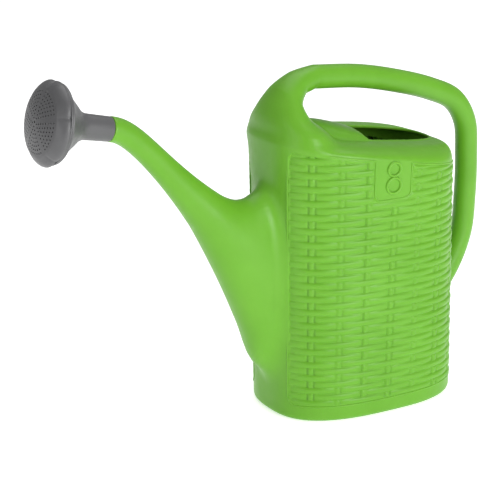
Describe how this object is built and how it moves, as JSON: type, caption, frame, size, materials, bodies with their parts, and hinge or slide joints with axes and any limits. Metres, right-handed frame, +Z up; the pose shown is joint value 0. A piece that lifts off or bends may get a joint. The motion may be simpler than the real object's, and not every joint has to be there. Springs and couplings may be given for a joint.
{
  "type": "watering can",
  "caption": "Blow-moulded watering can with a bow handle, hooded filling mouth, woven-pattern sides and a pull-off sprinkler rose.",
  "frame": {"origin": "middle of the flat pad on the underside, at the height of the surface that the can stands on", "axes": "+Z up, the spout points along -X, the handle is towards +X, and the can is symmetric about Y = 0"},
  "size_m": [0.5487, 0.174, 0.3971],
  "materials": {
    "can_plastic": "satin vivid green polyethylene",
    "rose_plastic": "satin dark grey polypropylene"
  },
  "bodies": {
    "can": {"base_pan": "can_plastic", "tank_wall": "can_plastic", "tank_shoulder": "can_plastic", "mouth_hood": "can_plastic", "front_column": "can_plastic", "handle_grip": "can_plastic", "handle_bend": "can_plastic", "rear_strut": "can_plastic", "spout_root": "can_plastic", "spout_tube": "can_plastic", "spout_tip": "can_plastic"},
    "rose": {"rose_funnel": "rose_plastic"},
    "rose_cap": {"rose_face": "rose_plastic"}
  },
  "joints": [
    {"name": "rose_pull", "type": "slide", "parent": "can", "child": "rose", "axis": [-0.9744, 0, 0.225], "range_m": [0, 0.045]},
    {"name": "rose_turn", "type": "hinge", "parent": "rose", "child": "rose_cap", "pos_m": [-0.29424, 0, 0.34302], "axis": [-0.9744, 0, 0.225], "continuous": true}
  ]
}
